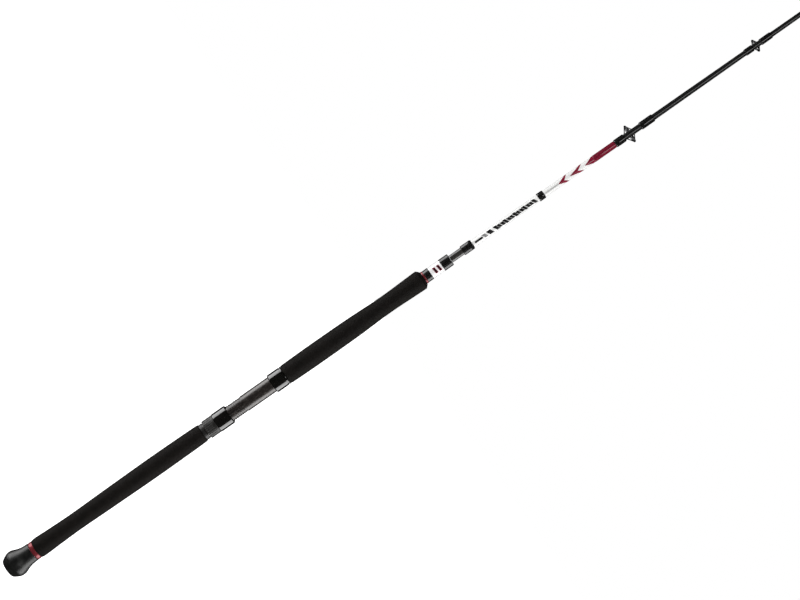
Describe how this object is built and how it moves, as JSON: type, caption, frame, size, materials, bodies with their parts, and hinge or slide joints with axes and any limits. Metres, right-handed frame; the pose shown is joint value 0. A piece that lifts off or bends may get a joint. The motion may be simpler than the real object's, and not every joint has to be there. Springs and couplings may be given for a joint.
{
  "type": "fishing rod",
  "caption": "Take-apart boat fishing rod with a capped gimbal butt, foam grips, a threaded reel seat with a sliding hood, a plug-in ferrule joint and ringed line guides.",
  "frame": {"origin": "centre of the butt cap's end face", "axes": "+Z along the rod from the butt to the tip, +Y towards the side that carries the reel foot and the guides"},
  "size_m": [0.0388, 0.0546, 1.981],
  "materials": {
    "cap_rubber": "satin",
    "bare_aluminium": "satin",
    "red_aluminium": "gloss",
    "grip_foam": "matte",
    "tube_fibre": "gloss",
    "black_plastic": "satin",
    "seat_body": "satin",
    "nut_plastic": "matte",
    "hood_black": "gloss",
    "liner_plastic": "matte",
    "arbor_foam": "matte",
    "sleeve_white": "gloss",
    "badge_face": "gloss",
    "wrap_black": "gloss",
    "wrap_red": "gloss",
    "blank_paint": "gloss",
    "guide_metal": "gloss",
    "guide_ceramic": "polished"
  },
  "bodies": {
    "handle": {"gimbal": "bare_aluminium", "butt_trim_ring": "red_aluminium", "rear_grip": "grip_foam", "butt_tube": "tube_fibre", "seat_end_ring": "black_plastic", "reel_seat": "seat_body", "fixed_hood": "hood_black", "fixed_hood_liner": "liner_plastic", "seat_arbor_rear": "arbor_foam", "seat_arbor_middle": "arbor_foam", "seat_arbor_front": "arbor_foam", "foregrip": "grip_foam", "winding_check": "red_aluminium", "check_wrap": "wrap_black", "ferrule_sleeve": "sleeve_white", "badge": "badge_face", "ferrule_wrap": "wrap_black"},
    "cap": {"butt_cap": "cap_rubber"},
    "hood": {"sliding_hood": "hood_black", "sliding_hood_liner": "liner_plastic"},
    "nut": {"lock_nut": "nut_plastic"},
    "tip_section": {"tip_blank": "blank_paint", "base_wrap": "wrap_black", "ring_wrap": "wrap_black", "red_wrap": "wrap_red", "guide_1_frame": "guide_metal", "guide_1_ring": "guide_ceramic", "guide_1_rear_wrap": "wrap_black", "guide_1_front_wrap": "wrap_black", "guide_2_frame": "guide_metal", "guide_2_ring": "guide_ceramic", "guide_2_rear_wrap": "wrap_black", "guide_2_front_wrap": "wrap_black", "guide_3_frame": "guide_metal", "guide_3_ring": "guide_ceramic", "guide_3_rear_wrap": "wrap_black", "guide_3_front_wrap": "wrap_black", "guide_4_frame": "guide_metal", "guide_4_ring": "guide_ceramic", "guide_4_rear_wrap": "wrap_black", "guide_4_front_wrap": "wrap_black", "guide_5_frame": "guide_metal", "guide_5_ring": "guide_ceramic", "guide_5_rear_wrap": "wrap_black", "guide_5_front_wrap": "wrap_black", "guide_6_frame": "guide_metal", "guide_6_ring": "guide_ceramic", "guide_6_rear_wrap": "wrap_black", "guide_6_front_wrap": "wrap_black", "tip_top_frame": "guide_metal", "tip_top_ring": "guide_ceramic", "tip_top_wrap": "wrap_black"}
  },
  "joints": [
    {"name": "tip_pull", "type": "slide", "parent": "handle", "child": "tip_section", "axis": [0, 0, 1], "range_m": [0, 0.07]},
    {"name": "cap_pull", "type": "slide", "parent": "handle", "child": "cap", "axis": [0, 0, -1], "range_m": [0, 0.045]},
    {"name": "hood_slide", "type": "slide", "parent": "handle", "child": "hood", "axis": [0, 0, 1], "range_m": [0, 0.024]},
    {"name": "nut_turn", "type": "hinge", "parent": "hood", "child": "nut", "pos_m": [0, 0, 0.348], "axis": [0, 0, 1], "range_deg": [0, 2880]}
  ],
  "couplings": [
    {"joint": "nut_turn", "follows": "hood_slide", "rad_per_m": 2094.4}
  ]
}
